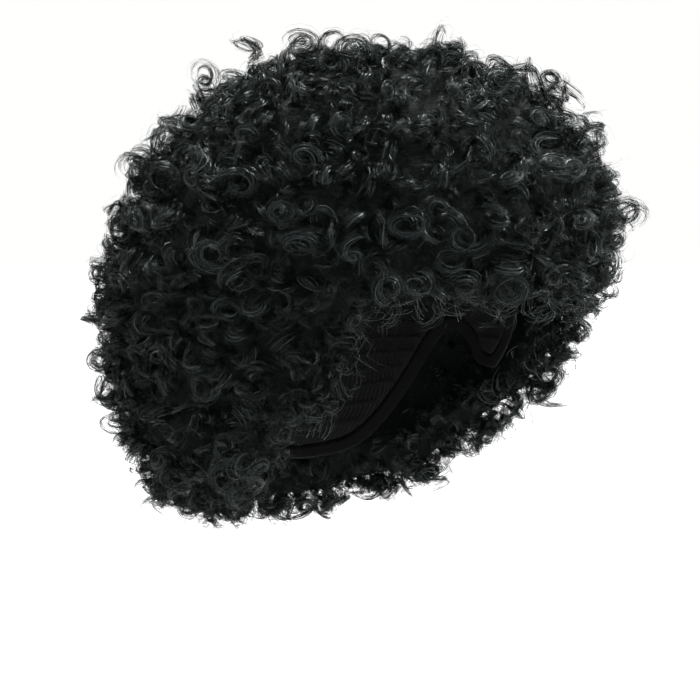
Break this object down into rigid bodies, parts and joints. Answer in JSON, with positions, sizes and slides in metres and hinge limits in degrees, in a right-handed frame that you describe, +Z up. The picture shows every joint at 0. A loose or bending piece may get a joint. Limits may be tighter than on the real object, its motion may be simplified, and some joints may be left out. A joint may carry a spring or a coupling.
{
  "type": "afro wig",
  "caption": "Round black curly afro wig in its worn form: a stretch net cap with an elastic edge, under rows of curls that are open at the face and hang down the nape.",
  "frame": {"origin": "the inside of the cap's crown, where the top of the wearer's head bears", "axes": "+Z up along the wearer's head, -Y the way the face looks, +X to the wearer's left"},
  "size_m": [0.3078, 0.3457, 0.3066],
  "materials": {
    "hair": "black synthetic fibre in tight curls, softly shiny",
    "cap_net": "black stretch net, matte",
    "elastic": "black ribbed elastic, matte"
  },
  "bodies": {
    "root": {"cap": "cap_net", "edge_band": "elastic", "crown_curls": "hair", "top_curls": "hair", "upper_curls": "hair", "fringe_curls": "hair", "ear_curls": "hair", "side_curls": "hair", "nape_curls": "hair"}
  },
  "joints": []
}
